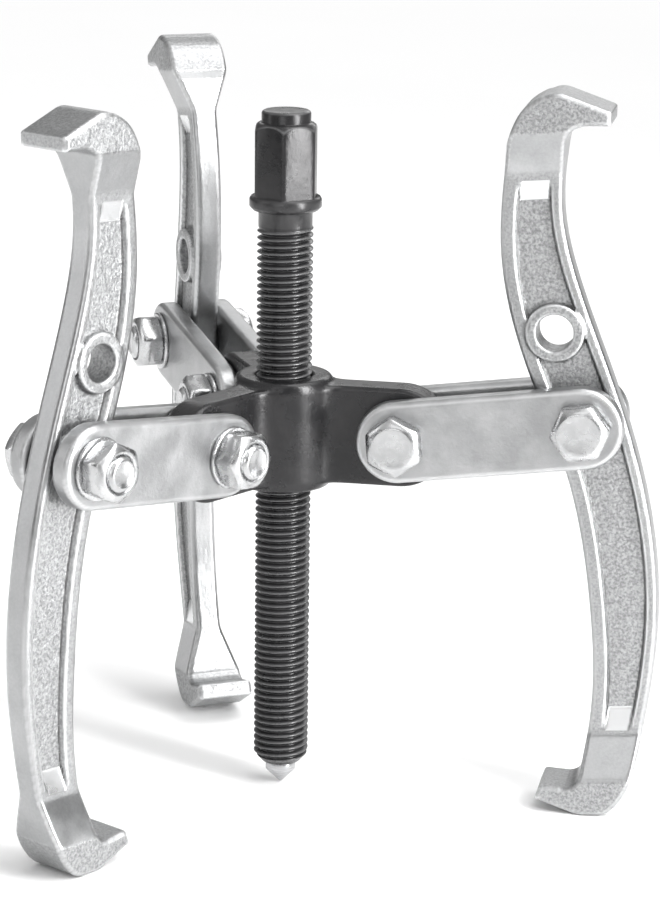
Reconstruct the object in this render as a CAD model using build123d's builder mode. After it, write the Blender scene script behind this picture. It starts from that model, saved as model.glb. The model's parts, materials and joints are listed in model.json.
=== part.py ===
from build123d import *
from math import cos, pi, radians, sin
import os

# Reversible three-jaw gear puller, in millimetres. The origin is the point of the centre tip,
# +Z runs up the forcing screw, and arm 1 lies along +X. Every arm is drawn in its own frame:
# X outwards from the screw, Z up, Y across the arm.

# ---------------------------------------------------------------- driving dimensions
# forcing screw, M16 x 2
SCREW_RADIUS = 8.0
SCREW_ROOT_RADIUS = 6.75
PITCH = 2.0
ROOT_FLAT = 0.14
CREST_FLAT = 0.14
SCREW_END = 7.0
SCREW_END_CHAMFER = 0.9
THREAD_BOTTOM = 9.6
THREAD_TURNS = 79
THREAD_TOP = THREAD_BOTTOM + THREAD_TURNS * PITCH
NECK_RADIUS = 7.7
COLLAR_BOTTOM = 172.2
COLLAR_RADIUS = 10.3
COLLAR_HEIGHT = 4.0
COLLAR_CHAMFER = 0.9
HEX_ACROSS_FLATS = 17.0
HEX_HEIGHT = 21.0
HEX_CHAMFER_SLOPE = 0.55
HEX_FACE_STEP = 0.35
HEX_TURN = 37.0
PILOT_RADIUS = 7.0
PILOT_HEIGHT = 3.3
PILOT_CHAMFER = 0.7

# centre tip and the ball behind it
TIP_SHANK_RADIUS = 3.0
TIP_SHANK_LENGTH = 6.0
TIP_COLLAR_RADIUS = 4.45
TIP_CONE_HEIGHT = 4.2
TIP_POINT_RADIUS = 0.25
BALL_RADIUS = 2.95
END_PLAY = 0.05
RUNNING_CLEARANCE = 0.075

# yoke
HUB_RADIUS = 14.0
HUB_HEIGHT = 32.4
ARM_HEIGHT = 28.8
ARM_THICKNESS = 10.0
HUB_FILLET = 5.0
HUB_EDGE = 1.6

# links
ARM_COUNT = 3
ARM_STEP = 360 / ARM_COUNT
INNER_PIVOT_X = 34.5
INNER_PIVOT_Z = 108.4
LINK_LENGTH = 53.0
STRAP_WIDTH = 23.5
STRAP_THICKNESS = 6.0
STRAP_EDGE = 1.1
SIDE_CLEARANCE = 0.1

# M10 bolts, nuts and washers
BOLT_RADIUS = 5.0
BOLT_THREAD_RADIUS = 4.93
BOLT_ACROSS_FLATS = 15.0
BOLT_HEAD_HEIGHT = 6.4
BOLT_END_CHAMFER = 0.8
BOLT_PROTRUSION = 1.2
WASHER_RADIUS = 8.7
WASHER_THICKNESS = 1.2
NUT_HEIGHT = 7.4
NUT_BORE_RADIUS = 5.0
WASHER_HOLE_RADIUS = 5.25

# jaws, drawn about their pivot hole
JAW_THICKNESS = 8.0
BOSS_THICKNESS = 10.0
BOSS_RADIUS = 8.3
HOOK_WIDTH = 17.4
SPARE_HOLE_X = -6.8
SPARE_HOLE_Z = 26.6
SPARE_HOLE_RADIUS = 5.25
JAW_EDGE = 1.0
INNER_RIM = 4.0
OUTER_RIM = 2.9
RIM_STEPS = 8
POCKET_DEPTH = 1.7
POCKET_BOTTOM = -91.0
POCKET_TOP = 69.0

# side view of the jaw about its pivot hole, X outwards and Z up
INNER_EDGE = (
    (-6.4, -103.6),
    (-2.3, -84.0),
    (-1.2, -54.0),
    (-5.8, -15.0),
    (-15.9, 18.0),
    (-20.9, 50.0),
    (-17.0, 81.0),
)
OUTER_EDGE = (
    (10.2, -100.0),
    (18.0, -58.0),
    (16.6, -22.0),
    (8.6, 13.0),
    (0.4, 41.0),
    (-2.7, 62.0),
    (-1.0, 78.0),
)
TOP_BACK_MIDDLE = (-11.3, 90.8)
TOP_CREST = (-2.4, 95.0)
TOP_TIP_UPPER = (12.6, 88.5)
TOP_TIP_LOWER = (12.3, 84.6)
TOP_ROOT = (4.8, 84.9)
TOP_ROOT_MIDDLE = (0.8, 83.2)
HEEL_MIDDLE = (7.2, -108.4)
FOOT_OUTER = (1.4, -115.7)
FOOT_INNER = (-7.4, -115.7)
LOW_TIP_LOWER = (-19.7, -110.6)
LOW_TIP_UPPER = (-17.9, -106.4)
LOW_ROOT = (-10.6, -107.3)
LOW_ROOT_MIDDLE = (-7.9, -106.3)
TIP_ROUNDING = 0.7
CREST_ROUNDING = 2.0
FOOT_ROUNDING = 5.0

# how wide the jaw is across its hooks, and the slopes down to its body
FLARE_BOTTOM_START = -91.8
FLARE_BOTTOM_END = -105.2
FLARE_TOP_START = 71.2
FLARE_TOP_END = 83.3
JAW_REACH = 125.0

# how the arms stand: the tilt of each link, and the turn of each jaw about its outer bolt
LINK_TILT = (7.8, 7.6, 7.8)
JAW_TURN = (4.8, -7.5, 2.7)

# each link's fasteners: name, place along the link, turn of the head's and the nut's corners
FASTENERS = (
    ("inner", 0.0, 26.0, 12.0),
    ("outer", LINK_LENGTH, 0.0, -10.0),
)

# ---------------------------------------------------------------- worked-out dimensions
STRAP_INNER_FACE = ARM_THICKNESS / 2 + SIDE_CLEARANCE
STRAP_OUTER_FACE = STRAP_INNER_FACE + STRAP_THICKNESS
STRAP_MIDDLE = (STRAP_INNER_FACE + STRAP_OUTER_FACE) / 2
WASHER_FACE = STRAP_OUTER_FACE + WASHER_THICKNESS
NUT_FACE = WASHER_FACE + NUT_HEIGHT
BOLT_END = NUT_FACE + BOLT_PROTRUSION
PIVOT_HOLE_RADIUS = BOLT_RADIUS + RUNNING_CLEARANCE
COLLAR_TOP = COLLAR_BOTTOM + COLLAR_HEIGHT
HUB_BOTTOM = INNER_PIVOT_Z - HUB_HEIGHT / 2
HEX_TOP = COLLAR_TOP + HEX_HEIGHT
TIP_BORE_RADIUS = TIP_SHANK_RADIUS + RUNNING_CLEARANCE
TIP_COLLAR_TOP = SCREW_END - END_PLAY
TIP_SHANK_TOP = TIP_COLLAR_TOP + TIP_SHANK_LENGTH
BALL_CENTRE = TIP_SHANK_TOP + BALL_RADIUS
TIP_BORE_TOP = BALL_CENTRE + BALL_RADIUS + END_PLAY

os.makedirs("parts", exist_ok=True)


def save(piece, name):
    piece.label = name
    export_step(piece, f"parts/{name}.step")


# ---------------------------------------------------------------- helpers
def hexagon(across_flats, height, turn):
    """A hexagonal prism standing on XY, the corners of its upper face turned off to a cone."""
    face_radius = across_flats / 2 - HEX_FACE_STEP
    corner_radius = across_flats / 2 / cos(pi / 6) + HEX_FACE_STEP
    drop = (corner_radius - face_radius) * HEX_CHAMFER_SLOPE
    with BuildPart() as prism:
        with BuildSketch():
            RegularPolygon(across_flats / 2, 6, major_radius=False, rotation=turn)
        extrude(amount=height)
        with BuildSketch(Plane.XZ):
            with BuildLine():
                Polyline(
                    (face_radius, height),
                    (corner_radius, height),
                    (corner_radius, height - drop),
                    close=True,
                )
            make_face()
        revolve(axis=Axis.Z, mode=Mode.SUBTRACT)
    return prism.part


def arm_plane(arm):
    """The upright plane through the screw's axis and along an arm."""
    azimuth = radians(arm * ARM_STEP)
    return Plane((0, 0, 0), x_dir=(cos(azimuth), sin(azimuth), 0), z_dir=(sin(azimuth), -cos(azimuth), 0))


def link_location(arm):
    """The inner pivot of an arm, with X along the tilted link."""
    return Rot(0, 0, arm * ARM_STEP) * Pos(INNER_PIVOT_X, 0, INNER_PIVOT_Z) * Rot(0, -LINK_TILT[arm], 0)


def jaw_location(arm):
    """The outer pivot of an arm, turned as its jaw stands."""
    return link_location(arm) * Pos(LINK_LENGTH, 0, 0) * Rot(0, LINK_TILT[arm] - JAW_TURN[arm], 0)


# ---------------------------------------------------------------- forcing screw
def thread_profile():
    """Points up the side of the thread, one root and one crest to each turn."""
    points = []
    for turn in range(THREAD_TURNS):
        z = THREAD_BOTTOM + turn * PITCH
        points.append((SCREW_ROOT_RADIUS, z))
        points.append((SCREW_ROOT_RADIUS, z + ROOT_FLAT * PITCH))
        points.append((SCREW_RADIUS, z + PITCH / 2))
        points.append((SCREW_RADIUS, z + PITCH / 2 + CREST_FLAT * PITCH))
    points.append((SCREW_ROOT_RADIUS, THREAD_TOP))
    return points


drive_hexagon = Pos(0, 0, COLLAR_TOP) * hexagon(HEX_ACROSS_FLATS, HEX_HEIGHT, HEX_TURN)

with BuildPart() as forcing_screw:
    with BuildSketch(Plane.XZ):
        with BuildLine():
            Polyline(
                (0, SCREW_END),
                (SCREW_ROOT_RADIUS - SCREW_END_CHAMFER, SCREW_END),
                (SCREW_ROOT_RADIUS, SCREW_END + SCREW_END_CHAMFER),
                *thread_profile(),
                (NECK_RADIUS, THREAD_TOP + PITCH / 2),
                (NECK_RADIUS, COLLAR_BOTTOM),
                (COLLAR_RADIUS - COLLAR_CHAMFER, COLLAR_BOTTOM),
                (COLLAR_RADIUS, COLLAR_BOTTOM + COLLAR_CHAMFER),
                (COLLAR_RADIUS, COLLAR_TOP - COLLAR_CHAMFER),
                (COLLAR_RADIUS - COLLAR_CHAMFER, COLLAR_TOP),
                (0, COLLAR_TOP),
                close=True,
            )
        make_face()
    revolve(axis=Axis.Z)
    add(drive_hexagon)
    with BuildSketch(Plane.XY.offset(HEX_TOP)):
        Circle(PILOT_RADIUS)
    extrude(amount=PILOT_HEIGHT)
    chamfer(forcing_screw.edges().sort_by(Axis.Z)[-1], PILOT_CHAMFER)
    with BuildSketch(Plane.XY.offset(SCREW_END)):
        Circle(TIP_BORE_RADIUS)
    extrude(amount=TIP_BORE_TOP - SCREW_END, mode=Mode.SUBTRACT)
save(forcing_screw.part, "forcing_screw")

# ---------------------------------------------------------------- centre tip and thrust ball
with BuildPart() as centre_tip:
    with BuildSketch(Plane.XZ):
        with BuildLine():
            Polyline(
                (0, 0),
                (TIP_POINT_RADIUS, 0),
                (TIP_COLLAR_RADIUS, TIP_CONE_HEIGHT),
                (TIP_COLLAR_RADIUS, TIP_COLLAR_TOP),
                (TIP_SHANK_RADIUS, TIP_COLLAR_TOP),
                (TIP_SHANK_RADIUS, TIP_SHANK_TOP),
                (0, TIP_SHANK_TOP),
                close=True,
            )
        make_face()
    revolve(axis=Axis.Z)
save(centre_tip.part, "centre_tip")

with BuildPart() as thrust_ball:
    with Locations((0, 0, BALL_CENTRE)):
        Sphere(BALL_RADIUS)
save(thrust_ball.part, "thrust_ball")

# ---------------------------------------------------------------- yoke
with BuildPart() as yoke:
    for arm in range(ARM_COUNT):
        with BuildSketch(arm_plane(arm)):
            with Locations((INNER_PIVOT_X / 2, INNER_PIVOT_Z)):
                Rectangle(INNER_PIVOT_X, ARM_HEIGHT)
            with Locations((INNER_PIVOT_X, INNER_PIVOT_Z)):
                Circle(ARM_HEIGHT / 2)
        extrude(amount=ARM_THICKNESS / 2, both=True)
    with BuildSketch(Plane.XY.offset(HUB_BOTTOM)):
        Circle(HUB_RADIUS)
    extrude(amount=HUB_HEIGHT)
    corners = yoke.edges().filter_by(Axis.Z).filter_by(lambda edge: abs(edge.center().Z - INNER_PIVOT_Z) < 0.1)
    fillet(corners, HUB_FILLET)
    hub_rims = yoke.edges().filter_by(GeomType.CIRCLE).sort_by(Axis.Z)
    fillet([hub_rims[0], hub_rims[-1]], HUB_EDGE)
    for arm in range(ARM_COUNT):
        with BuildSketch(arm_plane(arm)):
            with Locations((INNER_PIVOT_X, INNER_PIVOT_Z)):
                Circle(PIVOT_HOLE_RADIUS)
        extrude(amount=ARM_THICKNESS / 2, both=True, mode=Mode.SUBTRACT)
    with BuildSketch(Plane.XY.offset(HUB_BOTTOM)):
        Circle(SCREW_RADIUS + RUNNING_CLEARANCE)
    extrude(amount=HUB_HEIGHT, mode=Mode.SUBTRACT)
save(yoke.part, "yoke")

# ---------------------------------------------------------------- straps
with BuildPart() as strap:
    with BuildSketch(Plane.XZ):
        with Locations((LINK_LENGTH / 2, 0)):
            SlotCenterToCenter(LINK_LENGTH, STRAP_WIDTH)
    extrude(amount=STRAP_THICKNESS / 2, both=True)
    rim_edges = strap.edges().filter_by(Axis.Y, reverse=True)
    fillet(rim_edges, STRAP_EDGE)
    with BuildSketch(Plane.XZ):
        with Locations((0, 0), (LINK_LENGTH, 0)):
            Circle(PIVOT_HOLE_RADIUS)
    extrude(amount=STRAP_THICKNESS / 2, both=True, mode=Mode.SUBTRACT)

for arm in range(ARM_COUNT):
    for side, middle in (("head", -STRAP_MIDDLE), ("nut", STRAP_MIDDLE)):
        save(link_location(arm) * Pos(0, middle, 0) * strap.part, f"strap_{arm + 1}_{side}_side")


# ---------------------------------------------------------------- bolts, washers and nuts
def make_bolt(head_turn):
    """A bolt along Z, its middle at the origin and its head upwards."""
    head = Pos(0, 0, STRAP_OUTER_FACE) * hexagon(BOLT_ACROSS_FLATS, BOLT_HEAD_HEIGHT, head_turn)
    with BuildPart() as bolt:
        with BuildSketch(Plane.XY.offset(-STRAP_OUTER_FACE)):
            Circle(BOLT_RADIUS)
        extrude(amount=2 * STRAP_OUTER_FACE)
        with BuildSketch(Plane.XY.offset(-BOLT_END)):
            Circle(BOLT_THREAD_RADIUS)
        extrude(amount=BOLT_END - STRAP_OUTER_FACE)
        chamfer(bolt.edges().sort_by(Axis.Z)[0], BOLT_END_CHAMFER)
        add(head)
    return bolt.part


def make_nut(nut_turn):
    """A nut standing on the washer, its bore along Z."""
    blank = Pos(0, 0, WASHER_FACE) * hexagon(BOLT_ACROSS_FLATS, NUT_HEIGHT, nut_turn)
    with BuildPart() as nut:
        add(blank)
        with BuildSketch(Plane.XY.offset(WASHER_FACE)):
            Circle(NUT_BORE_RADIUS)
        extrude(amount=NUT_HEIGHT, mode=Mode.SUBTRACT)
    return nut.part


with BuildPart() as washer:
    with BuildSketch(Plane.XY.offset(STRAP_OUTER_FACE)):
        Circle(WASHER_RADIUS)
        Circle(WASHER_HOLE_RADIUS, mode=Mode.SUBTRACT)
    extrude(amount=WASHER_THICKNESS)

HEAD_SIDE = Rot(90, 0, 0)
NUT_SIDE = Rot(-90, 0, 0)
for place, along, head_turn, nut_turn in FASTENERS:
    bolt_part = make_bolt(head_turn)
    nut_part = make_nut(nut_turn)
    for arm in range(ARM_COUNT):
        pivot = link_location(arm) * Pos(along, 0, 0)
        save(pivot * HEAD_SIDE * bolt_part, f"{place}_bolt_{arm + 1}")
        save(pivot * NUT_SIDE * washer.part, f"{place}_washer_{arm + 1}")
        save(pivot * NUT_SIDE * nut_part, f"{place}_nut_{arm + 1}")

# ---------------------------------------------------------------- jaws
def points_beside(edge, distance):
    """Points at a distance to the left of an edge drawn upwards."""
    points = []
    for step in range(RIM_STEPS + 1):
        along = step / RIM_STEPS
        points.append(edge @ along + (edge % along).rotate(Axis.Z, 90) * distance)
    return points


with BuildPart() as jaw:
    with BuildSketch(Plane.XZ) as side_view:
        with BuildLine():
            inner_edge = Spline(*INNER_EDGE)
            outer_edge = Spline(*OUTER_EDGE)
            ThreePointArc(inner_edge @ 1, TOP_BACK_MIDDLE, TOP_CREST)
            Polyline(TOP_CREST, TOP_TIP_UPPER, TOP_TIP_LOWER, TOP_ROOT)
            ThreePointArc(TOP_ROOT, TOP_ROOT_MIDDLE, outer_edge @ 1)
            ThreePointArc(outer_edge @ 0, HEEL_MIDDLE, FOOT_OUTER)
            Polyline(FOOT_OUTER, FOOT_INNER, LOW_TIP_LOWER, LOW_TIP_UPPER, LOW_ROOT)
            ThreePointArc(LOW_ROOT, LOW_ROOT_MIDDLE, inner_edge @ 0)
        make_face()
        tips = side_view.vertices().filter_by(lambda vertex: abs(vertex.X) > 10.8)
        fillet(tips, TIP_ROUNDING)
        crest = side_view.vertices().filter_by(lambda vertex: vertex.Y > TOP_CREST[1] - 0.1)
        fillet(crest, CREST_ROUNDING)
        feet = side_view.vertices().filter_by(lambda vertex: vertex.Y < FOOT_OUTER[1] + 0.1)
        fillet(feet, FOOT_ROUNDING)
    extrude(amount=HOOK_WIDTH / 2, both=True)
    with BuildSketch(Plane.YZ):
        with BuildLine():
            Polyline(
                (0, -JAW_REACH),
                (HOOK_WIDTH / 2, -JAW_REACH),
                (HOOK_WIDTH / 2, FLARE_BOTTOM_END),
                (JAW_THICKNESS / 2, FLARE_BOTTOM_START),
                (JAW_THICKNESS / 2, FLARE_TOP_START),
                (HOOK_WIDTH / 2, FLARE_TOP_END),
                (HOOK_WIDTH / 2, JAW_REACH),
                (0, JAW_REACH),
                close=True,
            )
        make_face()
        mirror(about=Plane.YZ)
    extrude(amount=JAW_REACH, both=True, mode=Mode.INTERSECT)
    side_edges = jaw.edges().filter_by(lambda edge: abs(edge.center().Y) > JAW_THICKNESS / 2 - 0.1)
    fillet(side_edges, JAW_EDGE)
    for face_side in (-1, 1):
        with BuildSketch(Plane.XZ.offset(face_side * JAW_THICKNESS / 2)):
            with BuildLine():
                pocket_inner = Spline(*points_beside(inner_edge, -INNER_RIM))
                pocket_outer = Spline(*points_beside(outer_edge, OUTER_RIM))
                Line(pocket_inner @ 0, pocket_outer @ 0)
                Line(pocket_inner @ 1, pocket_outer @ 1)
            make_face()
            with Locations((0, (POCKET_BOTTOM + POCKET_TOP) / 2)):
                Rectangle(JAW_REACH, POCKET_TOP - POCKET_BOTTOM, mode=Mode.INTERSECT)
        extrude(amount=-face_side * POCKET_DEPTH, mode=Mode.SUBTRACT)
    with BuildSketch(Plane.XZ):
        with Locations((0, 0), (SPARE_HOLE_X, SPARE_HOLE_Z)):
            Circle(BOSS_RADIUS)
    extrude(amount=BOSS_THICKNESS / 2, both=True)
    with BuildSketch(Plane.XZ):
        Circle(PIVOT_HOLE_RADIUS)
        with Locations((SPARE_HOLE_X, SPARE_HOLE_Z)):
            Circle(SPARE_HOLE_RADIUS)
    extrude(amount=BOSS_THICKNESS / 2, both=True, mode=Mode.SUBTRACT)
for arm in range(ARM_COUNT):
    save(jaw_location(arm) * jaw.part, f"jaw_{arm + 1}")
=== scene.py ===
import json
import math
from itertools import product

import bpy
import numpy as np
from mathutils import Matrix, Vector


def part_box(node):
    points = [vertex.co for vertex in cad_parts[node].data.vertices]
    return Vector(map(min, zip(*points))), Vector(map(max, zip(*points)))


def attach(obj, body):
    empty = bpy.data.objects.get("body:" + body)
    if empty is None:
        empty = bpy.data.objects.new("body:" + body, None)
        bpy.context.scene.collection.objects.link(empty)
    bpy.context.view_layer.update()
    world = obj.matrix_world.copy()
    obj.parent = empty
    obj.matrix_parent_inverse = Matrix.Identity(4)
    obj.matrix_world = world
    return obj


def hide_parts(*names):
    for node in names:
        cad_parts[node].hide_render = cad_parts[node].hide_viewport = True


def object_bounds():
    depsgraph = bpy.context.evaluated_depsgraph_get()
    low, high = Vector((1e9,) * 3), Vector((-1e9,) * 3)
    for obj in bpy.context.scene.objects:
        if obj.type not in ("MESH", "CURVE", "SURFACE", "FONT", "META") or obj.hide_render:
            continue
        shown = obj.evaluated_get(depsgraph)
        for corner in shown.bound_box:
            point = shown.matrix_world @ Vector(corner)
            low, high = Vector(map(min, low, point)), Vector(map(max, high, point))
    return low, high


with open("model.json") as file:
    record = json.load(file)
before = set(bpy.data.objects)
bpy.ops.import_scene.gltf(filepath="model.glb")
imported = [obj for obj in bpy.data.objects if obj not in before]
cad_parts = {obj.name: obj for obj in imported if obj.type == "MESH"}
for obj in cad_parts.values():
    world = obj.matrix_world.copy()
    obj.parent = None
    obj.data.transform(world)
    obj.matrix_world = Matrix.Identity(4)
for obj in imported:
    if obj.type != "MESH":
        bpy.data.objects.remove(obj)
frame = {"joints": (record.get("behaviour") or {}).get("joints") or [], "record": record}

# A reversible three-jaw gear puller, in the frame of its CAD model: the origin is the point of the
# centre tip and +Z runs up the screw. Sizes are in millimetres and become metres as a piece is
# placed. The jaws, yoke, straps and ball are distance functions, meshed by a surface net. The
# screw, tip, bolts, nuts and washers are stacks of rings.

MM = 0.001
IN_PLACE = Matrix.Scale(MM, 4)
cad_low, cad_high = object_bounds()
JOINTS = {joint["name"]: joint for joint in frame["joints"]}
MOUNTS = {mount["name"]: mount for mount in frame["record"]["mounts"]}
ARMS = (1, 2, 3)

# ---------------------------------------------------------------- sizes, in millimetres
CELL = 0.6  # spacing of the surface nets' grids
BALL_CELL = 0.4

# jaw, from its pivot hole
SPARE_HOLE = (-6.8, 26.6)
SPARE_HOLE_RADIUS = 5.25
PIVOT_HOLE_RADIUS = 5.15
BOSS_RADIUS = 8.3
BOSS_HALF = 5.0
BODY_HALF = 4.0
HOOK_HALF = 8.7
LOW_FLARE_START = -91.8
LOW_FLARE_RUN = 13.4
HIGH_FLARE_START = 71.2
HIGH_FLARE_RUN = 12.1
RIM_WIDTH = 3.3
POCKET_OFFSET = 0.55
POCKET_DEPTH = 1.8
POCKET_LOW = -91.2
POCKET_HIGH = 69.4
POCKET_LOW_RAMP = 6.5
POCKET_HIGH_RAMP = 5.2
POCKET_SIDE_SLOPE = 1.1
JAW_LOW = (-20.5, -9, -117.5)
JAW_HIGH = (19, 9, 94.5)

# yoke and straps
ARM_HALF = 5.0
ARM_ROUND = 14.4
HUB_RADIUS = 14.0
HUB_HALF = 16.2
STRAP_RADIUS = 11.75
STRAP_HALF = 3.0
STRAP_MIDDLE = 8.1
STRAP_FACE = 11.1

# fasteners
WASHER_HEIGHT = 1.2
WASHER_RADIUS = 8.7
WASHER_BORE_RADIUS = 5.25
FASTENER_FLATS = 15.0
FASTENER_SEAT_RADIUS = 7.2
HEAD_HEIGHT = 6.4
NUT_HEIGHT = 7.4
HEAD_FACE_RADIUS = 6.0
NUT_FACE_RADIUS = 6.3
NUT_BORE_RADIUS = 5.02
BOLT_RADIUS = 5.0
BOLT_THREAD_RADIUS = 4.93
BOLT_GROOVE_RADIUS = 4.5
BOLT_END = 1.2

# forcing screw
SCREW_RADIUS = 8.0
SCREW_ROOT = 6.77
SCREW_END_RADIUS = 5.6
PITCH = 2.0
RINGS_PER_TURN = 12
NECK_HEIGHT = 4.6
NECK_RADIUS = 7.7
COLLAR_HEIGHT = 4.0
COLLAR_RADIUS = 10.3
HEX_HEIGHT = 21.0
HEX_FLATS = 17.0
HEX_TURN = 37
PILOT_HEIGHT = 3.3
PILOT_RADIUS = 7.0


# ---------------------------------------------------------------- places on the arms
def arm_axes(arm):
    """Directions out along an arm and across it."""
    azimuth = (arm - 1) * 2 * math.pi / len(ARMS)
    outwards = Vector((math.cos(azimuth), math.sin(azimuth), 0))
    return outwards, Vector((-outwards.y, outwards.x, 0))


def turned(arm, origin, angle):
    """A frame in an arm's plane, in millimetres: X outwards, Z up, turned by angle, Y across."""
    outwards, across = arm_axes(arm)
    up = Vector((0, 0, 1))
    x = outwards * math.cos(angle) + up * math.sin(angle)
    z = up * math.cos(angle) - outwards * math.sin(angle)
    place = Matrix((x, across, z)).transposed().to_4x4()
    place.translation = origin
    return place @ Matrix.Scale(MM, 4)


def angle_on_arm(arm, run):
    return math.atan2(run.z, run.dot(arm_axes(arm)[0]))


def inner_pivot(arm):
    return Vector(JOINTS[f"link_{arm}_swing"]["pos_m"])


def outer_pivot(arm):
    return Vector(JOINTS[f"jaw_{arm}_swing"]["pos_m"])


def link_frame(arm):
    rise = angle_on_arm(arm, outer_pivot(arm) - inner_pivot(arm))
    return turned(arm, inner_pivot(arm), rise)


def jaw_frame(arm):
    run = Vector(MOUNTS[f"spare_hole_{arm}"]["pos_m"]) - outer_pivot(arm)
    lean = angle_on_arm(arm, run) - math.atan2(SPARE_HOLE[1], SPARE_HOLE[0])
    return turned(arm, outer_pivot(arm), lean)


LINK_LENGTH = (outer_pivot(1) - inner_pivot(1)).length / MM
PIVOT_REACH = inner_pivot(1).x / MM
PIVOT_HEIGHT = inner_pivot(1).z / MM


# ---------------------------------------------------------------- distances
def smooth_min(a, b, blend):
    """The smaller of two distances, filled in over about blend where they meet."""
    mix = np.maximum(blend - np.abs(a - b), 0) / blend
    return np.minimum(a, b) - mix * mix * blend / 4


def smooth_max(a, b, blend):
    return -smooth_min(-a, -b, blend)


def rounded_and(a, b, radius):
    """What two solids share, the edge between them rounded to radius."""
    corner = np.hypot(np.maximum(a + radius, 0), np.maximum(b + radius, 0))
    return np.minimum(np.maximum(a, b), -radius) + corner


def smooth_step(low, high, value):
    share = np.clip((value - low) / (high - low), 0, 1)
    return share * share * (3 - 2 * share)


def slot_distance(x, z, length, radius):
    """A round-ended slot from the origin to length along X."""
    return np.hypot(x - np.clip(x, 0, length), z) - radius


def drilled(solid, across, radius, edge):
    """A solid less a round hole; across is the distance from the hole's axis."""
    return rounded_and(solid, radius - across, edge)


# ---------------------------------------------------------------- outlines
def curve_through(points, count):
    """Points evenly along a natural cubic spline."""
    points = np.array(points, float)
    spans = np.linalg.norm(np.diff(points, axis=0), axis=1)
    at = np.concatenate(([0], np.cumsum(spans)))
    system = np.eye(len(points))
    right = np.zeros_like(points)
    for i in range(1, len(points) - 1):
        system[i, i - 1 : i + 2] = spans[i - 1], 2 * (spans[i - 1] + spans[i]), spans[i]
        before, after = points[i] - points[i - 1], points[i + 1] - points[i]
        right[i] = 6 * (after / spans[i] - before / spans[i - 1])
    bend = np.linalg.solve(system, right)
    where = np.linspace(0, at[-1], count)
    i = np.clip(np.searchsorted(at, where, side="right") - 1, 0, len(spans) - 1)
    span = spans[i][:, None]
    near, far = (where - at[i])[:, None], (at[i + 1] - where)[:, None]
    return (
        (bend[i] * far**3 + bend[i + 1] * near**3) / (6 * span)
        + (points[i] / span - bend[i] * span / 6) * far
        + (points[i + 1] / span - bend[i + 1] * span / 6) * near
    )


def rounded_corner(before, corner, after, radius, count=5):
    """Points round a corner, tangent to both its sides."""
    before, corner, after = (np.array(p, float) for p in (before, corner, after))
    back = (before - corner) / np.linalg.norm(before - corner)
    on = (after - corner) / np.linalg.norm(after - corner)
    half = math.acos(np.clip(back @ on, -1, 1)) / 2
    cut = radius / math.tan(half)
    start, end = corner + back * cut, corner + on * cut
    share = np.linspace(0, 1, count)[:, None]
    return (1 - share) ** 2 * start + 2 * share * (1 - share) * corner + share**2 * end


def outline_field(outline, cell=0.25, margin=3.0):
    """The signed distance to a closed outline, kept on a grid and read between its points."""
    low = outline.min(axis=0) - margin
    counts = np.ceil((outline.max(axis=0) + margin - low) / cell).astype(int) + 1
    columns, rows = (low[k] + cell * np.arange(counts[k]) for k in range(2))
    x, z = np.meshgrid(columns, rows, indexing="ij")
    nearest = np.full(x.shape, np.inf)
    inside = np.zeros(x.shape, bool)
    for (x0, z0), (x1, z1) in zip(outline, np.roll(outline, -1, axis=0)):
        run_x, run_z = x1 - x0, z1 - z0
        share = np.clip(((x - x0) * run_x + (z - z0) * run_z) / (run_x**2 + run_z**2), 0, 1)
        off_x, off_z = x - x0 - share * run_x, z - z0 - share * run_z
        nearest = np.minimum(nearest, off_x**2 + off_z**2)
        if z0 != z1:
            inside ^= ((z0 > z) != (z1 > z)) & (x < run_x * (z - z0) / run_z + x0)
    field = np.sqrt(nearest) * np.where(inside, -1, 1)

    def distance(x, z):
        u = np.clip((x - low[0]) / cell, 0, counts[0] - 1.001)
        v = np.clip((z - low[1]) / cell, 0, counts[1] - 1.001)
        i, j = u.astype(int), v.astype(int)
        u, v = u - i, v - j
        below = field[i, j] * (1 - u) + field[i + 1, j] * u
        above = field[i, j + 1] * (1 - u) + field[i + 1, j + 1] * u
        return below * (1 - v) + above * v

    return distance


# ---------------------------------------------------------------- meshes
def gradient(distance, points, step=0.03):
    shifts = np.eye(3) * step
    slopes = [distance(points + shift) - distance(points - shift) for shift in shifts]
    return np.stack(slopes, axis=1) / (2 * step)


def neighbour_mean(points, quads):
    """The middle of each point's neighbours along the edges of the quads."""
    corners = range(4)
    starts = np.concatenate([quads[:, k] for k in corners] * 2)
    ends = [quads[:, (k + 1) % 4] for k in corners] + [quads[:, k - 1] for k in corners]
    ends = np.concatenate(ends)
    shares = np.bincount(starts, minlength=len(points))
    sums = [np.bincount(starts, weights=points[ends, k], minlength=len(points)) for k in range(3)]
    return np.stack(sums, axis=1) / shares[:, None]


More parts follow.
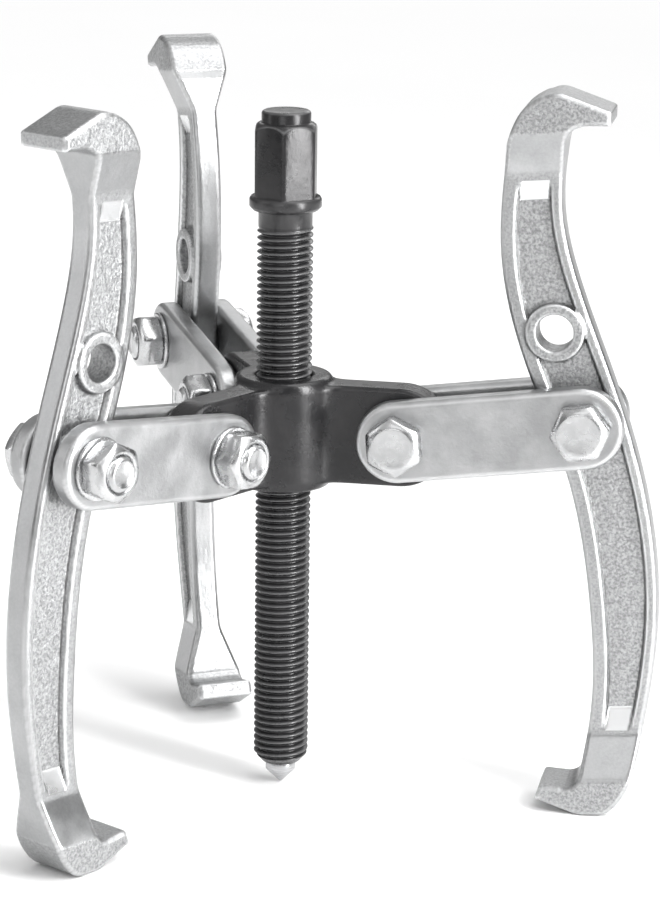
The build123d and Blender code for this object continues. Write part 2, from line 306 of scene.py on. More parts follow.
def surface_net(distance, low, high, cell):
    """A closed mesh of quads where distance is zero.

    The third result is how far each point stands out of its neighbours, in cells.
    """
    axes = [np.arange(low[k] - 2 * cell, high[k] + 3 * cell, cell) for k in range(3)]
    grid = np.stack(np.meshgrid(*axes, indexing="ij"), axis=-1)
    inside = distance(grid.reshape(-1, 3)).reshape(grid.shape[:3]) < 0
    ends = [slice(0, -1), slice(1, None)]
    held = sum(inside[corner].astype(int) for corner in product(ends, repeat=3))
    mixed = (held > 0) & (held < 8)
    index = np.full(mixed.shape, -1)
    index[mixed] = np.arange(mixed.sum())
    points = grid[:-1, :-1, :-1][mixed] + cell / 2
    quads = []
    for axis in range(3):
        first = np.moveaxis(inside, axis, 0)[:-1, 1:-1, 1:-1]
        second = np.moveaxis(inside, axis, 0)[1:, 1:-1, 1:-1]
        cells = np.moveaxis(index, axis, 0)
        around = [cells[:, :-1, :-1], cells[:, 1:, :-1], cells[:, 1:, 1:], cells[:, :-1, 1:]]
        around = np.stack(around, axis=-1)
        if axis == 1:
            around = around[..., ::-1]
        quads += [around[first & ~second], around[second & ~first][:, ::-1]]
    quads = np.concatenate(quads)
    for relax in (0, 0.6, 0.6, 0.4, 0, 0):
        if relax:
            points = points + relax * (neighbour_mean(points, quads) - points)
        slope = gradient(distance, points)
        reach = distance(points) / np.maximum((slope**2).sum(axis=1), 0.25)
        points = points - slope * np.clip(reach, -cell, cell)[:, None]
    offset = points - neighbour_mean(points, quads)
    return points, quads, (offset * gradient(distance, points)).sum(axis=1) / cell


TURNS = 96
ANGLES = np.arange(TURNS) * 2 * math.pi / TURNS


def ring(radius, height):
    """A ring of points; radius and height are numbers, or one value for each angle."""
    radius = np.broadcast_to(radius, ANGLES.shape)
    height = np.broadcast_to(height, ANGLES.shape)
    return np.stack([radius * np.cos(ANGLES), radius * np.sin(ANGLES), height], axis=1)


def ring_stack(rings, hollow=False):
    """A solid from rings listed up its outside; a hollow one's come back down its bore."""
    points = np.concatenate(rings)
    row = np.arange(TURNS)
    after = (row + 1) % TURNS
    faces = []
    count = len(rings)
    for k in range(count if hollow else count - 1):
        low, high = k * TURNS, (k + 1) % count * TURNS
        faces += np.stack([low + row, low + after, high + after, high + row], axis=1).tolist()
    if not hollow:
        middles = [rings[k].mean(axis=0, keepdims=True) for k in (0, -1)]
        points = np.concatenate([points, *middles])
        bottom, top = len(points) - 2, len(points) - 1
        last = (count - 1) * TURNS
        for i in range(TURNS):
            faces.append([bottom, int(after[i]), i])
            faces.append([top, last + i, last + int(after[i])])
    return points, faces


def add_piece(name, points, faces, place, body, material, node, masks=()):
    """Make a smooth mesh that stands for a CAD node and rides on a body."""
    mesh = bpy.data.meshes.new(name)
    mesh.from_pydata(points.tolist(), [], faces if isinstance(faces, list) else faces.tolist())
    mesh.polygons.foreach_set("use_smooth", np.ones(len(mesh.polygons), bool))
    for title, values in masks:
        attribute = mesh.attributes.new(title, "FLOAT", "POINT")
        attribute.data.foreach_set("value", values.astype(np.float32))
    mesh.transform(place)
    mesh.materials.append(material)
    mesh.update()
    piece = bpy.data.objects.new(name, mesh)
    bpy.context.scene.collection.objects.link(piece)
    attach(piece, body)
    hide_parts(node)
    return piece


# ---------------------------------------------------------------- materials
class Finish:
    """A Principled material, and helpers for its noise, masks, mixes and bump."""

    def __init__(self, name, metallic, specular=0.5):
        self.material = bpy.data.materials.new(name)
        self.material.use_nodes = True
        self.nodes, self.links = self.material.node_tree.nodes, self.material.node_tree.links
        self.shader = self.nodes["Principled BSDF"]
        self.shader.inputs["Metallic"].default_value = metallic
        self.shader.inputs["Specular IOR Level"].default_value = specular
        self.coordinates = self.nodes.new("ShaderNodeTexCoord").outputs["Object"]
        self.bump = None

    def noise(self, size, detail, roughness, stretch=(1, 1, 1)):
        """Noise whose features are about size millimetres."""
        mapping = self.nodes.new("ShaderNodeMapping")
        mapping.inputs["Scale"].default_value = stretch
        texture = self.nodes.new("ShaderNodeTexNoise")
        texture.inputs["Scale"].default_value = 1 / (size * MM)
        texture.inputs["Detail"].default_value = detail
        texture.inputs["Roughness"].default_value = roughness
        self.links.new(self.coordinates, mapping.inputs["Vector"])
        self.links.new(mapping.outputs["Vector"], texture.inputs["Vector"])
        return texture.outputs["Fac"]

    def mask(self, title):
        """A value stored on the mesh's points: forged, or how far an edge stands out."""
        attribute = self.nodes.new("ShaderNodeAttribute")
        attribute.attribute_name = title
        return attribute.outputs["Fac"]

    def remap(self, value, low, high, start=0.0, end=1.0):
        """A value rescaled from low to high into start to end, and kept between them."""
        node = self.nodes.new("ShaderNodeMapRange")
        node.inputs["From Min"].default_value = low
        node.inputs["From Max"].default_value = high
        node.inputs["To Min"].default_value = start
        node.inputs["To Max"].default_value = end
        self.links.new(value, node.inputs["Value"])
        return node.outputs["Result"]

    def math(self, operation, a, b):
        """An operation on two values, each a number or a socket."""
        node = self.nodes.new("ShaderNodeMath")
        node.operation = operation
        for socket, value in zip(node.inputs, (a, b)):
            if isinstance(value, float):
                socket.default_value = value
            else:
                self.links.new(value, socket)
        return node.outputs["Value"]

    def blend(self, share, first, second):
        """A colour between two, each a colour or a socket."""
        node = self.nodes.new("ShaderNodeMix")
        node.data_type = "RGBA"
        for name, value in (("A", first), ("B", second)):
            socket = [s for s in node.inputs if s.name == name and s.type == "RGBA"][0]
            if isinstance(value, tuple):
                socket.default_value = (*value, 1)
            else:
                self.links.new(value, socket)
        self.links.new(share, node.inputs["Factor"])
        return [s for s in node.outputs if s.type == "RGBA"][0]

    def raise_by(self, height, depth):
        """Add a bump of depth millimetres."""
        node = self.nodes.new("ShaderNodeBump")
        node.inputs["Strength"].default_value = 1.0
        node.inputs["Distance"].default_value = depth * MM
        self.links.new(height, node.inputs["Height"])
        if self.bump is not None:
            self.links.new(self.bump, node.inputs["Normal"])
        self.bump = node.outputs["Normal"]

    def finish(self, colour, roughness):
        self.links.new(colour, self.shader.inputs["Base Color"])
        self.links.new(roughness, self.shader.inputs["Roughness"])
        if self.bump is not None:
            self.links.new(self.bump, self.shader.inputs["Normal"])
        return self.material


def forged_zinc():
    """Jaws: shot-blasted forging under zinc, ground smooth on rims, ramps and bosses."""
    steel = Finish("forged_zinc", 1.0)
    rough = steel.mask("forged")
    grain = steel.noise(0.8, 5, 0.6)
    pits = steel.noise(3.4, 3, 0.5)
    clouds = steel.remap(steel.noise(14, 3, 0.5), 0.35, 0.7)
    steel.raise_by(steel.math("MULTIPLY", grain, rough), 0.20)
    steel.raise_by(steel.math("MULTIPLY", pits, rough), 0.3)
    steel.raise_by(steel.noise(2.6, 2, 0.5, (1, 1, 0.25)), 0.05)
    plain = steel.blend(clouds, (0.34, 0.344, 0.348), (0.46, 0.464, 0.468))
    grainy = steel.blend(steel.remap(grain, 0.36, 0.64), (0.25, 0.253, 0.256), (0.48, 0.484, 0.488))
    colour = steel.blend(rough, plain, grainy)
    # Edges that stand out go near-white: rubbed wear and a painted highlight; the pocket-end slopes
    # get this painted highlight too.
    colour = steel.blend(steel.remap(steel.mask("edge"), 0.03, 0.2), colour, (0.74, 0.745, 0.75))
    # Creases and hollows go near-black: painted shade.
    colour = steel.blend(steel.remap(steel.mask("edge"), -0.03, -0.2), colour, (0.10, 0.10, 0.10))
    smooth = steel.remap(clouds, 0, 1, 0.26, 0.36)
    return steel.finish(colour, steel.math("ADD", smooth, steel.math("MULTIPLY", rough, 0.16)))


def pressed_zinc():
    """Straps: cold-rolled plate under zinc, faintly mottled, its edges rounded by tumbling."""
    steel = Finish("pressed_zinc", 1.0)
    grain = steel.noise(0.9, 4, 0.6)
    clouds = steel.remap(steel.noise(9, 4, 0.55), 0.35, 0.68)
    steel.raise_by(grain, 0.10)
    steel.raise_by(steel.noise(6, 2, 0.5), 0.10)
    colour = steel.blend(clouds, (0.35, 0.353, 0.357), (0.47, 0.473, 0.477))
    # Edges that stand out go near-white: tumbled wear and a painted highlight.
    colour = steel.blend(steel.remap(steel.mask("edge"), 0.03, 0.2), colour, (0.84, 0.845, 0.85))
    return steel.finish(colour, steel.remap(clouds, 0, 1, 0.33, 0.43))


def bright_zinc():
    """Bolts, nuts and washers."""
    steel = Finish("bright_zinc", 1.0)
    clouds = steel.remap(steel.noise(4, 4, 0.6), 0.35, 0.68)
    steel.raise_by(steel.noise(1.6, 3, 0.5), 0.05)
    colour = steel.blend(clouds, (0.48, 0.483, 0.488), (0.62, 0.623, 0.628))
    return steel.finish(colour, steel.remap(clouds, 0, 1, 0.22, 0.32))


def black_oxide():
    """Screw and yoke: oil-blacked steel, a little browner and brighter where it has rubbed; its
    edges and thread crests are also lightened as a painted highlight.
    """
    steel = Finish("black_oxide", 0.3, 0.55)
    clouds = steel.remap(steel.noise(11, 4, 0.6), 0.35, 0.7)
    steel.raise_by(steel.noise(1.2, 4, 0.6), 0.06)
    steel.raise_by(steel.noise(5, 2, 0.5), 0.12)
    colour = steel.blend(clouds, (0.012, 0.012, 0.013), (0.024, 0.023, 0.024))
    # Edges and thread crests go lighter: rubbed wear and a painted highlight.
    colour = steel.blend(steel.remap(steel.mask("edge"), 0.08, 0.45), colour, (0.10, 0.10, 0.102))
    return steel.finish(colour, steel.remap(clouds, 0, 1, 0.24, 0.34))


def ground_steel():
    """Centre tip and ball: hardened and ground."""
    steel = Finish("ground_steel", 1.0)
    rings = steel.noise(0.8, 2, 0.5, (0.2, 0.2, 3))
    steel.raise_by(rings, 0.03)
    colour = steel.blend(steel.remap(rings, 0.3, 0.7), (0.40, 0.40, 0.41), (0.56, 0.56, 0.57))
    return steel.finish(colour, steel.remap(rings, 0.3, 0.7, 0.2, 0.3))


def floor_paint():
    """Studio floor: matt, nearly white."""
    paint = Finish("floor_paint", 0.0, 0.2)
    clouds = paint.noise(300, 2, 0.5)
    colour = paint.blend(clouds, (0.93, 0.93, 0.93), (0.95, 0.95, 0.95))
    return paint.finish(colour, paint.remap(clouds, 0, 1, 0.8, 0.9))


FORGED, PRESSED, BRIGHT = forged_zinc(), pressed_zinc(), bright_zinc()
BLACK, GROUND = black_oxide(), ground_steel()

# ---------------------------------------------------------------- jaws
# Points on the forging's outline in its own plane, from the pivot hole: X outwards and Z up.
INNER_EDGE = (
    (-6.4, -103.6),
    (-2.3, -84.0),
    (-1.2, -54.0),
    (-5.8, -15.0),
    (-15.9, 18.0),
    (-20.9, 50.0),
    (-17.0, 81.0),
)
OUTER_EDGE = (
    (10.2, -100.0),
    (18.0, -58.0),
    (16.6, -22.0),
    (8.6, 13.0),
    (0.4, 41.0),
    (-2.7, 62.0),
    (-1.0, 78.0),
)
TOP_BACK = (-11.3, 90.8)
TOP_CREST = (-2.4, 95.0)
TOP_TIP_UPPER = (12.6, 88.5)
TOP_TIP_LOWER = (12.3, 84.6)
TOP_ROOT = (4.8, 84.9)
TOP_ROOT_MIDDLE = (0.8, 83.2)
HEEL = (7.2, -108.4)
FOOT_OUTER = (1.4, -115.7)
FOOT_INNER = (-7.4, -115.7)
LOW_TIP_LOWER = (-19.7, -110.6)
LOW_TIP_UPPER = (-17.9, -106.4)
LOW_ROOT = (-10.6, -107.3)
LOW_ROOT_MIDDLE = (-7.9, -106.3)
CREST_ROUND = 6.0
FOOT_OUTER_ROUND = 6.0
FOOT_INNER_ROUND = 9.0
TIP_ROUND = 0.8


def jaw_outline():
    """The closed outline, up the inner edge, over the upper hook and back round the lower one."""
    inner = curve_through(INNER_EDGE, 60)
    outer = curve_through(OUTER_EDGE, 60)[::-1]
    stretches = [
        inner,
        curve_through((inner[-1], TOP_BACK, TOP_CREST), 12)[1:-2],
        rounded_corner(TOP_BACK, TOP_CREST, TOP_TIP_UPPER, CREST_ROUND, 9),
        rounded_corner(TOP_CREST, TOP_TIP_UPPER, TOP_TIP_LOWER, TIP_ROUND),
        rounded_corner(TOP_TIP_UPPER, TOP_TIP_LOWER, TOP_ROOT, TIP_ROUND),
        curve_through((TOP_ROOT, TOP_ROOT_MIDDLE, outer[0]), 10),
        outer[1:],
        curve_through((outer[-1], HEEL, FOOT_OUTER), 10)[1:-1],
        rounded_corner(HEEL, FOOT_OUTER, FOOT_INNER, FOOT_OUTER_ROUND, 9),
        rounded_corner(FOOT_OUTER, FOOT_INNER, LOW_TIP_LOWER, FOOT_INNER_ROUND, 9),
        rounded_corner(FOOT_INNER, LOW_TIP_LOWER, LOW_TIP_UPPER, TIP_ROUND),
        rounded_corner(LOW_TIP_LOWER, LOW_TIP_UPPER, LOW_ROOT, TIP_ROUND),
        curve_through((LOW_ROOT, LOW_ROOT_MIDDLE, inner[0]), 8)[:-1],
    ]
    return np.concatenate(stretches)


jaw_side = outline_field(jaw_outline())


def jaw_half_width(z):
    """Half the forging's width before its pockets: thin along the body, wide at both hooks."""
    widening = HOOK_HALF - BODY_HALF
    low_flare = BODY_HALF + (LOW_FLARE_START - z) * widening / LOW_FLARE_RUN
    high_flare = BODY_HALF + (z - HIGH_FLARE_START) * widening / HIGH_FLARE_RUN
    ramps = smooth_max(np.maximum(low_flare, high_flare), np.full_like(z, BODY_HALF), 0.5)
    return smooth_min(ramps, np.full_like(z, HOOK_HALF), 0.3)


def pocket_sides(x, z):
    """How far inside the rims a point is; POCKET_OFFSET makes the outer rim the narrower."""
    return -RIM_WIDTH - jaw_side(x - POCKET_OFFSET, z)


def pocket_ends(z):
    """0 beyond a pocket's ends and 1 past the slopes that lead down to its floor."""
    low_share = np.clip((z - POCKET_LOW) / POCKET_LOW_RAMP, 0, 1)
    high_share = np.clip((POCKET_HIGH - z) / POCKET_HIGH_RAMP, 0, 1)
    return np.minimum(low_share, high_share)


def pocket_share(x, z):
    """1 on a pocket's floor and 0 outside it, sloped along its sides and ramped at its ends."""
    return smooth_step(0, POCKET_SIDE_SLOPE, pocket_sides(x, z)) * pocket_ends(z)


def jaw_distance(points):
    x, y, z = points.T
    side = jaw_side(x, z)
    half = jaw_half_width(z) - POCKET_DEPTH * pocket_share(x, z)
    solid = rounded_and(side, np.abs(y) - half, 1.3)
    holes = ((0, 0, PIVOT_HOLE_RADIUS), (*SPARE_HOLE, SPARE_HOLE_RADIUS))
    for hole_x, hole_z, radius in holes:
        across = np.hypot(x - hole_x, z - hole_z)
        boss = rounded_and(across - BOSS_RADIUS, np.abs(y) - BOSS_HALF, 0.6)
        solid = drilled(smooth_min(solid, boss, 1.4), across, radius, 0.7)
    return solid


def make_jaws():
    """The three jaws, rough inside their pockets and on their hooks' sides, smooth elsewhere."""
    points, quads, edge = surface_net(jaw_distance, JAW_LOW, JAW_HIGH, CELL)
    x, y, z = points.T
    on_side = smooth_step(0.5, 1.4, -jaw_side(x, z))
    hooks = np.maximum(smooth_step(-105.0, -105.7, z), smooth_step(83.0, 83.8, z))
    ends = pocket_ends(z)
    slopes = smooth_step(0.9, 1.5, pocket_sides(x, z)) * (ends > 0) * (ends < 1)
    rims = 0.45 * on_side * smooth_step(-93, -91, z) * smooth_step(73, 71, z)
    forged = np.maximum(on_side * hooks, np.maximum(pocket_share(x, z), rims))
    forged = np.clip(forged + 0.45 * (1 - on_side) * hooks + 0.15, 0, 1) * (1 - slopes)
    # The edge mask lightens what stands out (rubbed wear and painted highlight), darkens creases
    # (painted shade), and adds a painted highlight on the pocket-end slopes.
    masks = (("forged", forged), ("edge", edge + 0.35 * slopes))
    for arm in ARMS:
        jaw, place = f"jaw_{arm}", jaw_frame(arm)
        name = f"{jaw}_forging"
        add_piece(name, points, quads, place, jaw, FORGED, jaw, masks)


# ---------------------------------------------------------------- yoke
def yoke_distance(points):
    x, y, z = points.T
    z = z - PIVOT_HEIGHT
    from_axis = np.hypot(x, y)
    plan = from_axis - HUB_RADIUS
    reach = np.full_like(x, -np.inf)
    pivots = np.full_like(x, np.inf)
    for arm in ARMS:
        outwards, across = arm_axes(arm)
        along = x * outwards.x + y * outwards.y
        aside = np.abs(x * across.x + y * across.y)
        plan = smooth_min(plan, np.maximum(aside - ARM_HALF, -along), 5.9)
        reach = np.maximum(reach, along)
        pivots = np.minimum(pivots, np.hypot(along - PIVOT_REACH, z))
    side = slot_distance(np.maximum(reach, 0), z, PIVOT_REACH, ARM_ROUND)
    arms = rounded_and(plan, side, 1.3)
    hub = rounded_and(from_axis - HUB_RADIUS, np.abs(z) - HUB_HALF, 1.7)
    solid = smooth_min(arms, hub, 1.2)
    solid = drilled(solid, pivots, PIVOT_HOLE_RADIUS, 0.5)
    return drilled(solid, from_axis, SCREW_RADIUS + 0.15, 0.9)


def make_yoke():
    low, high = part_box("yoke")
    points, quads, edge = surface_net(yoke_distance, low / MM, high / MM, CELL)
    name, slot, masks = "yoke_casting", "black_oxide_steel", (("edge", edge),)
    add_piece(name, points, quads, IN_PLACE, "yoke", BLACK, "yoke", masks)


# ---------------------------------------------------------------- straps
def strap_distance(points):
    x, y, z = points.T
    side = slot_distance(x, z, LINK_LENGTH, STRAP_RADIUS)
    solid = rounded_and(side, np.abs(y) - STRAP_HALF, 1.5)
    ends = np.minimum(np.hypot(x, z), np.hypot(x - LINK_LENGTH, z))
    return drilled(solid, ends, PIVOT_HOLE_RADIUS, 0.4)


def make_straps():
    low = (-STRAP_RADIUS, -STRAP_HALF, -STRAP_RADIUS)
    high = (LINK_LENGTH + STRAP_RADIUS, STRAP_HALF, STRAP_RADIUS)
    points, quads, edge = surface_net(strap_distance, low, high, CELL)
    masks = (("edge", edge),)
    for arm in ARMS:
        for side, middle in (("head", -STRAP_MIDDLE), ("nut", STRAP_MIDDLE)):
            node, body = f"strap_{arm}_{side}_side", f"link_{arm}"
            place = link_frame(arm) @ Matrix.Translation((0, middle, 0))
            name = f"{node}_plate"
            add_piece(name, points, quads, place, body, PRESSED, node, masks)


# ---------------------------------------------------------------- hexagons, bolts, nuts and washers
def hexagon_radius(across_flats, turn):
    """A hexagon's radius at each angle, its corners a little worn; turn is where one corner is."""
    from_flat = np.mod(ANGLES - math.radians(turn), math.pi / 3) - math.pi / 6
    corner = across_flats / 2 / math.cos(math.pi / 6)
    sides = across_flats / 2 / np.cos(from_flat)
    return smooth_min(sides, np.full_like(ANGLES, corner - 0.12), 0.25)


def turned_top(radius, face_radius, slope):
    """How far the corners of a hexagon's end are turned down."""
    return np.maximum(radius - face_radius, 0) * slope


def fastener_head(base, height, turn, face_radius):
    """Rings up the outside of a bolt's head or a nut, from its seat to the edge of its face."""
    hexagon = hexagon_radius(FASTENER_FLATS, turn)
    under = turned_top(hexagon, FASTENER_SEAT_RADIUS + 0.15, 0.35)
    over = turned_top(hexagon, face_radius, 0.62)
    halfway = (hexagon + face_radius) / 2
    top = base + height
    return [
        ring(FASTENER_SEAT_RADIUS, base),
        ring(FASTENER_SEAT_RADIUS, base + 0.3),
        ring(hexagon - 0.15, base + 0.32 + under),
        ring(hexagon, base + 0.5 + under),
        ring(hexagon, top - over - 0.2),
        ring(hexagon - 0.12, top - over),
        ring(halfway - 0.1, top - turned_top(halfway, face_radius, 0.6)),
        ring(face_radius + 0.1, top - 0.08),
        ring(face_radius - 0.25, top),
    ]


def make_bolt(head_turn):
    """A bolt with its head upwards; the arm's middle is at the origin."""
    end = -(STRAP_FACE + WASHER_HEIGHT + NUT_HEIGHT + BOLT_END)
    top = STRAP_FACE + HEAD_HEIGHT
    rings = [
        ring(3.2, end + 0.15),
        ring(3.45, end),
        ring(3.9, end),
        ring(4.15, end + 0.12),
        ring(BOLT_THREAD_RADIUS - 0.03, end + 0.85),
        ring(BOLT_THREAD_RADIUS, end + 1.0),
        ring(BOLT_GROOVE_RADIUS, end + 1.3),
        ring(BOLT_GROOVE_RADIUS, end + 1.45),
        ring(BOLT_THREAD_RADIUS, end + 1.8),
        ring(BOLT_THREAD_RADIUS, -STRAP_FACE),
        ring(BOLT_RADIUS, 0.2 - STRAP_FACE),
        ring(BOLT_RADIUS, STRAP_FACE),
    ]
    rings += fastener_head(STRAP_FACE, HEAD_HEIGHT, head_turn, HEAD_FACE_RADIUS)
    rings += [ring(HEAD_FACE_RADIUS - 0.9, top - 0.12), ring(1.0, top - 0.16)]
    return ring_stack(rings)


def make_nut(nut_turn):
    base = STRAP_FACE + WASHER_HEIGHT
    top = base + NUT_HEIGHT
    rings = fastener_head(base, NUT_HEIGHT, nut_turn, NUT_FACE_RADIUS)
    rings += [
        ring(5.7, top),
        ring(5.5, top - 0.06),
        ring(NUT_BORE_RADIUS, top - 0.6),
        ring(NUT_BORE_RADIUS, base + 0.5),
        ring(5.5, base),
    ]
    return ring_stack(rings, hollow=True)


def make_washer():
    top = STRAP_FACE + WASHER_HEIGHT
    outside = (
        (WASHER_RADIUS - 0.35, STRAP_FACE),
        (WASHER_RADIUS - 0.1, STRAP_FACE + 0.2),
        (WASHER_RADIUS, STRAP_FACE + 0.45),
        (WASHER_RADIUS, top - 0.45),
        (WASHER_RADIUS - 0.1, top - 0.15),
        (WASHER_RADIUS - 0.4, top),
    )
    bore = (
        (WASHER_BORE_RADIUS + 0.2, top),
        (WASHER_BORE_RADIUS, top - 0.2),
        (WASHER_BORE_RADIUS, STRAP_FACE + 0.1),
        (WASHER_BORE_RADIUS + 0.1, STRAP_FACE),
    )
    return ring_stack([ring(radius, z) for radius, z in outside + bore], hollow=True)


def make_fasteners():
    """Bolts, washers and nuts, each pair turned a little differently, as they come to rest."""
    heads = Matrix.Rotation(math.pi / 2, 4, "X")
    nuts = Matrix.Rotation(-math.pi / 2, 4, "X")
    ends = (("inner", 0, 28, 12), ("outer", LINK_LENGTH, 1, -10))
    for end, along, head_turn, nut_turn in ends:
        for arm in ARMS:
            pivot = link_frame(arm) @ Matrix.Translation((along, 0, 0))
            made = (
                ("bolt", make_bolt(head_turn + 3 * arm - 3), heads),
                ("washer", make_washer(), nuts),
                ("nut", make_nut(nut_turn + 17 * arm), nuts),
            )
            for kind, (points, faces), side in made:
                node, body = f"{end}_{kind}_{arm}", f"link_{arm}"
                name, place = f"{node}_plated", pivot @ side
                add_piece(name, points, faces, place, body, BRIGHT, node)


# ---------------------------------------------------------------- forcing screw, tip and ball
def thread_height(turn):
    """From 0 at the root to 1 at the crest, over one turn of the helix."""
    from_crest = np.abs(2 * np.mod(turn, 1) - 1)
    straight = np.clip((0.80 - from_crest) / (0.80 - 0.13), 0, 1)
    return 0.5 * (straight + smooth_step(0, 1, straight))


def make_screw():
    """The screw from its end up: thread, neck, collar, hexagon, pilot; each ring has its wear and
    painted highlight, strongest on the thread's crests.
    """
    low, high = (corner.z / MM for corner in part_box("forcing_screw"))
    hex_top = high - PILOT_HEIGHT
    collar_top = hex_top - HEX_HEIGHT
    collar = collar_top - COLLAR_HEIGHT
    thread_top = collar - NECK_HEIGHT
    depth = SCREW_RADIUS - SCREW_ROOT
    rings, heights = [ring(3.6, low)], [0]
    for z in np.arange(low, thread_top, PITCH / RINGS_PER_TURN):
        height = thread_height(z / PITCH - ANGLES / (2 * math.pi))
        start = SCREW_END_RADIUS + (z - low) * 0.9
        run_out = smooth_step(thread_top - 2.5, thread_top, z) * 0.75
        radius = SCREW_ROOT + depth * np.maximum(height, run_out)
        rings.append(ring(np.minimum(radius, start), z))
        heights.append(height)
    for radius, z in (
        (NECK_RADIUS, thread_top + 0.4),
        (NECK_RADIUS, collar - 0.3),
        (NECK_RADIUS + 0.3, collar),
        (COLLAR_RADIUS - 1.0, collar + 0.1),
        (COLLAR_RADIUS - 0.1, collar + 1.0),
        (COLLAR_RADIUS, collar + 1.3),
        (COLLAR_RADIUS, collar_top - 0.9),
        (COLLAR_RADIUS - 0.2, collar_top - 0.5),
        (COLLAR_RADIUS - 0.45, collar_top - 0.15),
    ):
        rings.append(ring(radius, z))
        heights.append(0.35)
    hexagon = hexagon_radius(HEX_FLATS, HEX_TURN)
    for share in (0, 0.004, 0.03):
        rings.append(ring(hexagon, collar_top + share * HEX_HEIGHT))
        heights.append(0.1)
    out_of_pilot = hexagon - PILOT_RADIUS
    drop = 2.5 * (out_of_pilot / 2.8) ** 2
    for out in (1, 0.93, 0.86, 0.7, 0.45, 0.2, 0.04):
        dome = hex_top - drop * out**2 - (0.25 if out == 1 else 0)
        rings.append(ring(PILOT_RADIUS + out_of_pilot * out, dome))
        heights.append(0.8 if 0.8 < out < 1 else 0.2)
    for radius, z, wear_and_highlight in (
        (PILOT_RADIUS, hex_top + 0.2, 0.1),
        (PILOT_RADIUS, high - 0.8, 0.1),
        (PILOT_RADIUS - 0.2, high - 0.35, 0.7),
        (PILOT_RADIUS - 0.7, high - 0.03, 0.7),
        (PILOT_RADIUS - 1.2, high, 0.1),
        (1.0, high - 0.1, 0.1),
    ):
        rings.append(ring(radius, z))
        heights.append(wear_and_highlight)
    points, faces = ring_stack(rings)
    wear_and_highlight = [np.broadcast_to(height, ANGLES.shape) for height in heights] + [np.zeros(2)]
    # The mask lightens thread crests and rubbed edges: wear and a painted highlight.
    masks = (("edge", 0.45 * np.concatenate(wear_and_highlight)),)
    name, slot = "forcing_screw_threaded", "black_oxide_steel"
    add_piece(name, points, faces, IN_PLACE, "screw", BLACK, "forcing_screw", masks)


def make_tip():
    low, high = (corner.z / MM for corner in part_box("centre_tip"))
    point = ((0.12, 0.0), (0.3, 0.08), (4.2, 3.95), (4.42, 4.25))
    shoulder = ((4.45, 4.5), (4.45, 6.6), (4.3, 6.9), (3.0, 6.95))
    rings = [ring(radius, low + z) for radius, z in point + shoulder]
    points, faces = ring_stack(rings + [ring(3.0, high - 0.3), ring(2.7, high)])
    name, slot = "centre_tip_ground", "bright_steel"
    add_piece(name, points, faces, IN_PLACE, "centre", GROUND, "centre_tip")


def ball_distance(points):
    low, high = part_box("thrust_ball")
    middle = np.array((low + high) / 2) / MM
    return np.linalg.norm(points - middle, axis=1) - (high.z - low.z) / 2 / MM


def make_ball():
    low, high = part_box("thrust_ball")
    points, quads, _ = surface_net(ball_distance, low / MM, high / MM, BALL_CELL)
    name, slot = "thrust_ball_ground", "bright_steel"
    add_piece(name, points, quads, IN_PLACE, "centre", GROUND, "thrust_ball")


# ---------------------------------------------------------------- floor, lights, camera: metres
FLOOR_REACH = 25.0
VIEW_TURN = math.radians(11.32)
CAMERA_AWAY, CAMERA_UP = -0.879, 0.338
CAMERA_YAW, CAMERA_PITCH, CAMERA_ROLL = (math.radians(angle) for angle in (0.877, 15.04, 0.75))
CAMERA_LENS, CAMERA_SENSOR = 84.05, 24.0

SUN_STRENGTH, SUN_WIDTH = 1.9, math.radians(50)
SUN_PLACE = (0.45, -0.05, 1.0)
STUDIO_GREYS = ((0.05, 0.09), (0.9, 0.68))  # height of the direction, and its grey
LIT_POINT = (0, 0, 0.11)
# name, place (right, away, up), width and height, watts, spread in degrees
SOFT_LIGHTS = (
    ("key", (0.41, -0.32, 0.27), (0.10, 0.52), 1.6, 100),
    ("rim", (-0.75, -0.1, 0.4), (0.12, 0.7), 0.8, 180),
    ("front", (-0.15, -1.0, 1.15), (0.9, 0.4), 1.4, 180),
    ("low_front", (-0.33, -1.1, 0.46), (0.6, 0.3), 1.6, 180),
    ("back", (0.2, 0.9, 0.55), (0.9, 0.2), 1.5, 180),
)


def add_object(name, data):
    item = bpy.data.objects.new(name, data)
    bpy.context.scene.collection.objects.link(item)
    return item


def make_floor():
    mesh = bpy.data.meshes.new("floor")
    corners = ((-1, -1), (1, -1), (1, 1), (-1, 1))
    points = [(FLOOR_REACH * x, FLOOR_REACH * y, cad_low.z) for x, y in corners]
    mesh.from_pydata(points, [], [(0, 1, 2, 3)])
    mesh.materials.append(floor_paint())
    add_object("floor", mesh)


def seen_from_camera(right, away, up):
    """A point at these distances from the screw's point: right, away from the camera, and up."""
    cos, sin = math.cos(VIEW_TURN), math.sin(VIEW_TURN)
    return Vector((right * cos - away * sin, right * sin + away * cos, up))


def soft_light(name, place, size, watts, spread):
    light = bpy.data.lights.new(name, "AREA")
    light.shape = "RECTANGLE"
    light.size, light.size_y = size
    light.energy = watts
    light.spread = math.radians(spread)
    lamp = add_object(name, light)
    lamp.location = seen_from_camera(*place)
    lamp.visible_camera = False
    direction = seen_from_camera(*LIT_POINT) - lamp.location
    lamp.rotation_euler = direction.to_track_quat("-Z", "Y").to_euler()


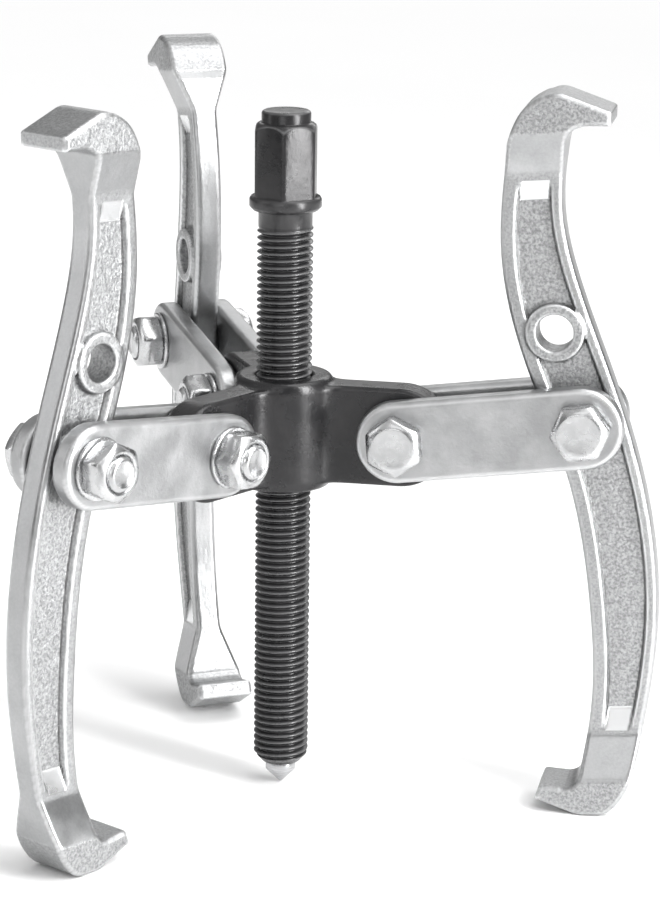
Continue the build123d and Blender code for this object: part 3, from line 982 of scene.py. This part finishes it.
def make_lights():
    """A wide overhead sun, a few soft panels and a studio that is brighter towards its ceiling."""
    sun = bpy.data.lights.new("overhead", "SUN")
    sun.energy = SUN_STRENGTH
    sun.angle = SUN_WIDTH
    lamp = add_object("overhead", sun)
    direction = -seen_from_camera(*SUN_PLACE)
    lamp.rotation_euler = direction.to_track_quat("-Z", "Y").to_euler()
    for row in SOFT_LIGHTS:
        soft_light(*row)
    world = bpy.data.worlds.new("studio")
    bpy.context.scene.world = world
    world.use_nodes = True
    nodes, links = world.node_tree.nodes, world.node_tree.links
    split = nodes.new("ShaderNodeSeparateXYZ")
    links.new(nodes.new("ShaderNodeTexCoord").outputs["Generated"], split.inputs["Vector"])
    ramp = nodes.new("ShaderNodeValToRGB")
    for stop, (place, grey) in zip(ramp.color_ramp.elements, STUDIO_GREYS):
        stop.position = place
        stop.color = (grey, grey, grey, 1)
    links.new(split.outputs["Z"], ramp.inputs["Fac"])
    links.new(ramp.outputs["Color"], nodes["Background"].inputs["Color"])
    bpy.context.scene.view_settings.view_transform = "Standard"


def make_camera():
    """The viewpoint, in front of the screw and looking a little down."""
    level_reach = math.cos(CAMERA_PITCH)
    ahead = seen_from_camera(
        math.sin(CAMERA_YAW) * level_reach,
        math.cos(CAMERA_YAW) * level_reach,
        -math.sin(CAMERA_PITCH),
    )
    level = ahead.cross(Vector((0, 0, 1))).normalized()
    upright = level.cross(ahead)
    right = level * math.cos(CAMERA_ROLL) + upright * math.sin(CAMERA_ROLL)
    up = upright * math.cos(CAMERA_ROLL) - level * math.sin(CAMERA_ROLL)
    camera = bpy.data.cameras.new("camera")
    camera.sensor_fit = "VERTICAL"
    camera.sensor_height = CAMERA_SENSOR
    camera.lens = CAMERA_LENS
    camera.clip_end = 30
    view = add_object("camera", camera)
    turn = Matrix((right, up, -ahead)).transposed().to_4x4()
    place = seen_from_camera(0, CAMERA_AWAY, CAMERA_UP)
    view.matrix_world = Matrix.Translation(place) @ turn
    bpy.context.scene.camera = view


make_camera()
make_lights()
make_floor()
make_jaws()
make_yoke()
make_straps()
make_fasteners()
make_screw()
make_tip()
make_ball()
